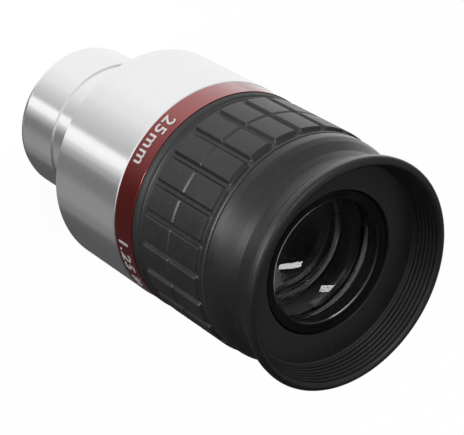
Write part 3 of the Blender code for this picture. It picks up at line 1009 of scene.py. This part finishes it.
# Brightness around the horizon, as (degrees from the front towards +X, brightness)
LOW_WALL = [
    (-180.0, 0.08),
    (-172.0, 1.10),
    (-164.0, 1.22),
    (-50.0, 1.22),
    (-24.0, 1.10),
    (-12.0, 0.92),
    (0.0, 0.76),
    (10.0, 0.62),
    (20.0, 0.38),
    (30.0, 0.20),
    (40.0, 0.13),
    (50.0, 0.10),
    (94.0, 0.08),
    (132.0, 0.06),
    (170.0, 0.06),
    (180.0, 0.08),
]
HIGH_WALL = [
    (-180.0, 0.02),
    (-150.0, 0.05),
    (-120.0, 0.60),
    (-80.0, 0.90),
    (-20.0, 1.15),
    (32.0, 1.20),
    (52.0, 0.50),
    (68.0, 0.18),
    (110.0, 0.07),
    (150.0, 0.04),
    (180.0, 0.02),
]
WALL_PEAK = 1.25


def azimuth_ramp(studio, azimuth, stops):
    """Brightness around the horizon, through the given stops."""
    place = studio.span(azimuth, 0.0, 1.0, (-math.pi, math.pi))
    node = studio.node("ShaderNodeValToRGB", {0: place})
    ramp = node.color_ramp
    ramp.interpolation = "EASE"
    for angle, brightness in stops[1:-1]:
        ramp.elements.new((angle + 180.0) / 360.0)
    for element, (angle, brightness) in zip(ramp.elements, stops):
        element.position = (angle + 180.0) / 360.0
        share = brightness / WALL_PEAK
        element.color = (share, share, share, 1.0)
    return studio.math("MULTIPLY", node.outputs[0], WALL_PEAK)


def make_world():
    studio = Studio()
    direction = studio.node("ShaderNodeTexCoord").outputs["Generated"]
    axes = studio.node("ShaderNodeSeparateXYZ", {0: direction}).outputs
    azimuth = studio.math("ARCTAN2", axes[0], studio.math("MULTIPLY", axes[1], -1.0))
    low = azimuth_ramp(studio, azimuth, LOW_WALL)
    high = azimuth_ramp(studio, azimuth, HIGH_WALL)
    share = studio.span(axes[2], 0.0, 1.0, (-0.35, 0.05), True)
    level = studio.node("ShaderNodeMix", {0: share, 2: low, 3: high}, data_type="FLOAT")
    ray = studio.node("ShaderNodeLightPath").outputs["Is Camera Ray"]
    seen = studio.node("ShaderNodeMix", {0: ray, 2: level.outputs[0], 3: 1.0}, data_type="FLOAT")
    background = studio.node("ShaderNodeBackground", {"Strength": seen.outputs[0]})
    output = studio.node("ShaderNodeOutputWorld")
    studio.tree.links.new(background.outputs[0], output.inputs[0])


def make_lamp(name, azimuth, elevation, width, height, brightness, lit, roll=0.0):
    """A soft box that faces the object and lights only the pieces in lit.

    Azimuth is from the front towards +X. Angles are in degrees, also the width and height
    that the lamp seems to have from the object. brightness is its radiance.
    """
    middle = (CAD_BOX[0] + CAD_BOX[1]) / 2
    a, e = math.radians(azimuth), math.radians(elevation)
    away = Vector((math.sin(a) * math.cos(e), -math.cos(a) * math.cos(e), math.sin(e)))
    light = bpy.data.lights.new(name, "AREA")
    light.shape = "RECTANGLE"
    light.size = 2 * LAMP_DISTANCE * math.tan(math.radians(width) / 2)
    light.size_y = 2 * LAMP_DISTANCE * math.tan(math.radians(height) / 2)
    light.energy = brightness * math.pi * light.size * light.size_y
    obj = bpy.data.objects.new(name, light)
    turn = Matrix.Rotation(math.radians(roll), 4, "Z")
    aim = (-away).to_track_quat("-Z", "Y").to_matrix().to_4x4()
    obj.matrix_world = Matrix.Translation(middle + away * LAMP_DISTANCE) @ aim @ turn
    bpy.context.scene.collection.objects.link(obj)
    obj.visible_camera = False
    receivers = bpy.data.collections.new(name + "_lights")
    for piece in lit:
        receivers.objects.link(piece)
    obj.light_linking.receiver_collection = receivers
    return obj


# Tall strips that only the bright metal shows, as (azimuth, width in azimuth, brightness)
STRIP_ELEVATION = -45.0
STRIP_HEIGHT = 60.0
STRIP_SQUEEZE = 0.7  # a stretch of azimuth looks this much narrower at the strips' elevation
METAL_STRIPS = [
    (21.0, 13.0, 0.80),
    (31.0, 6.0, 0.52),
    (38.0, 6.0, 0.22),
    (70.0, 60.0, 0.11),
    (76.0, 24.0, 0.10),
    (76.0, 8.0, 0.42),
    (122.0, 64.0, 0.05),
    (167.5, 7.0, 0.60),
    (177.0, 10.0, 1.10),
]


def make_lamps(metal, band, tube, grip, cup, ring, glass, inside):
    for number, (azimuth, width, brightness) in enumerate(METAL_STRIPS, start=1):
        name = f"metal_strip_{number}"
        width *= STRIP_SQUEEZE
        make_lamp(name, azimuth, STRIP_ELEVATION, width, STRIP_HEIGHT, brightness, metal)
    # The colour band: a broad box for its dull side and a small bright one for its top edge
    make_lamp("band_box", -84.0, -42.0, 56.0, 60.0, 0.4, [band])
    make_lamp("band_glint", 20.0, 41.0, 7.0, 12.0, 60.0, [band])
    # Broad soft boxes that the rubber shows as wide dull patches
    make_lamp("front_box", 17.0, -20.0, 23.0, 70.0, 5.4, [cup])
    make_lamp("side_box", -122.0, -55.0, 55.0, 66.0, 0.8, [cup])
    make_lamp("pad_box", -122.0, -55.0, 55.0, 66.0, 0.3, [grip])
    make_lamp("rim_box", 13.0, 2.0, 24.0, 28.0, 15.0, [grip])
    make_lamp("flange_box", 14.0, 8.0, 26.0, 16.0, 9.0, [tube])
    make_lamp("sky_box", -168.0, 46.0, 60.0, 50.0, 0.30, [cup])
    make_lamp("bowl_box", -40.0, 38.0, 30.0, 24.0, 3.0, [cup])
    # Lamps that put thin lines on the retaining ring and bars on the eye lens
    make_lamp("ring_box", -38.0, 42.0, 70.0, 20.0, 13.0, [ring])
    make_lamp("ring_glint", -178.0, 22.0, 15.0, 9.0, 8.0, [ring])
    make_lamp("low_bar", -129.5, 74.0, 14.0, 4.5, 13.0, [glass], roll=60.0)
    high_bar = make_lamp("high_bar", 170.2, 52.9, 8.6, 1.7, 10.5, [glass], roll=-54.0)
    # Only the front surface of the lens shows the high bar
    high_bar.visible_transmission = False
    # The bores behind the lenses get their light through the glass, past everything but the nosepiece
    bore_box = make_lamp("bore_box", -10.0, 62.0, 24.0, 24.0, 1.5, inside)
    behind = bpy.data.collections.new("behind_the_lens")
    behind.objects.link(metal[0])
    bore_box.light_linking.blocker_collection = behind


def make_painted_shade_disc():
    """A black disc that paints the shaded floor under the nosepiece, which also keeps light from
    coming up through the lenses.
    """
    bm = bmesh.new()
    bmesh.ops.create_circle(bm, cap_ends=True, segments=64, radius=15.0 * MM)
    mesh = bpy.data.meshes.new("painted_shade_disc")
    bm.to_mesh(mesh)
    bm.free()
    painted_shade_sheet = bpy.data.objects.new("painted_shade_disc", mesh)
    painted_shade_sheet.location.z = -0.3 * MM
    bpy.context.scene.collection.objects.link(painted_shade_sheet)
    # Painted shade: the black stands for the unlit floor that the lenses look down on.
    mesh.materials.append(FLAT_BLACK)
    painted_shade_sheet.visible_camera = False


def make_floor():
    """A wide pale sheet under the object, with only a trace of shadow."""
    mesh = bpy.data.meshes.new("floor")
    bm = bmesh.new()
    bmesh.ops.create_grid(bm, x_segments=24, y_segments=24, size=6.0)
    bm.to_mesh(mesh)
    bm.free()
    floor = bpy.data.objects.new("floor", mesh)
    bpy.context.scene.collection.objects.link(floor)
    look = Look("floor_paper", Roughness=0.9, Specular_IOR_Level=0.0)
    cloud = look.noise(look.place(), scale=3.0, detail=2.0)
    look.feed("Base Color", look.colours(cloud, (0.10, 0.10, 0.10), (0.12, 0.12, 0.12)))
    look.shader.inputs["Emission Color"].default_value = (1.0, 1.0, 1.0, 1.0)
    look.shader.inputs["Emission Strength"].default_value = 0.95
    mesh.materials.append(look.material)
    floor.visible_glossy = False
    floor.visible_diffuse = False
    floor.visible_shadow = False
    floor.visible_transmission = False


def make_camera():
    data = bpy.data.cameras.new("camera")
    data.lens = CAMERA_LENS
    data.sensor_width = CAMERA_SENSOR
    data.sensor_fit = "HORIZONTAL"
    data.clip_start = 0.01
    data.clip_end = 50.0
    camera = bpy.data.objects.new("camera", data)
    bpy.context.scene.collection.objects.link(camera)
    yaw = Matrix.Rotation(math.radians(CAMERA_YAW), 4, "Z")
    pitch = Matrix.Rotation(math.radians(90.0 - CAMERA_BELOW_HORIZON), 4, "X")
    roll = Matrix.Rotation(math.radians(CAMERA_ROLL), 4, "Z")
    camera.matrix_world = Matrix.Translation(CAMERA_PLACE) @ yaw @ pitch @ roll
    bpy.context.scene.camera = camera


nosepiece = make_nosepiece()
body = make_body()
band = make_band()
tube = make_upper_housing()
grip = make_grip()
make_sleeve()
cup = make_eyecup()
make_marking("marking_focal_length", "25mm", -7.6)
make_marking("marking_barrel_size", "1.25 in", 60.0)
eye_ring, eye_element, inside = make_inside()
paint_cad_nodes()
make_world()
make_lamps([nosepiece, body], band, tube, grip, cup, eye_ring, eye_element, inside)
make_floor()
make_painted_shade_disc()
make_camera()
bpy.context.scene.view_settings.view_transform = "Standard"
